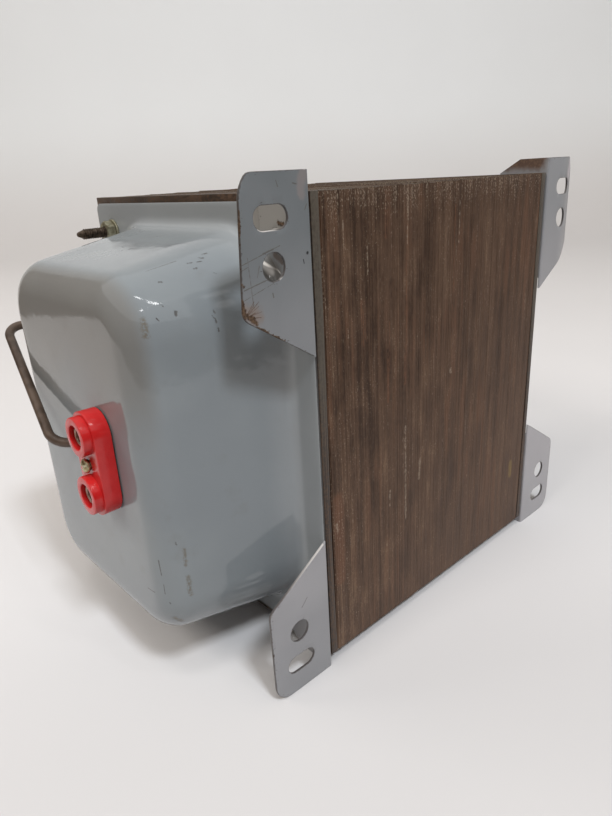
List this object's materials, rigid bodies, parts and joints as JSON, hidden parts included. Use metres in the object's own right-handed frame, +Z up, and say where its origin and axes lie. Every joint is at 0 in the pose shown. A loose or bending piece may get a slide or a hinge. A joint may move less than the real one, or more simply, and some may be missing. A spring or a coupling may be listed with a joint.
{
  "type": "laminated voltage transformer",
  "caption": "Floor or panel standing voltage transformer: a bare laminated iron core between two drawn bell covers, with corner mounting ears, an earth stud and a twin red test socket.",
  "frame": {"origin": "middle of the four ear slots, on the ears' outer faces", "axes": "+X out of the mounting side, -Y out of the front cover with the socket, +Z up along the ears"},
  "size_m": [0.1254, 0.2148, 0.159],
  "materials": {
    "core_iron": "varnished lamination edges, rusty brown",
    "grey_paint": "gloss blue-grey enamel",
    "ear_paint": "satin grey paint, rusty edges",
    "dark_steel": "dark steel thread",
    "zinc_steel": "aged zinc plate",
    "red_plastic": "glossy red moulding",
    "black_gasket": "matt",
    "brass": "worn nickel over brass",
    "rod_steel": "brown lacquered wire, half gloss"
  },
  "bodies": {
    "root": {"lamination_stack": "core_iron", "front_packet": "core_iron", "back_packet": "core_iron", "front_bell": "grey_paint", "back_bell": "grey_paint", "ear_front_top": "ear_paint", "ear_front_bottom": "ear_paint", "ear_back_top": "ear_paint", "ear_back_bottom": "ear_paint", "bolt_near_top": "dark_steel", "bolt_near_bottom": "dark_steel", "bolt_far_top": "dark_steel", "bolt_far_bottom": "dark_steel", "nut_near_top": "zinc_steel", "nut_near_bottom": "zinc_steel", "nut_far_top": "zinc_steel", "nut_far_bottom": "zinc_steel", "front_washer_far_top": "zinc_steel", "front_washer_far_bottom": "zinc_steel", "back_washer_near_top": "zinc_steel", "back_washer_near_bottom": "zinc_steel", "back_washer_far_top": "zinc_steel", "back_washer_far_bottom": "zinc_steel", "socket_body": "red_plastic", "socket_gasket": "black_gasket", "contact_upper": "brass", "contact_lower": "brass", "socket_screw": "brass", "bent_rod": "rod_steel"}
  },
  "joints": []
}
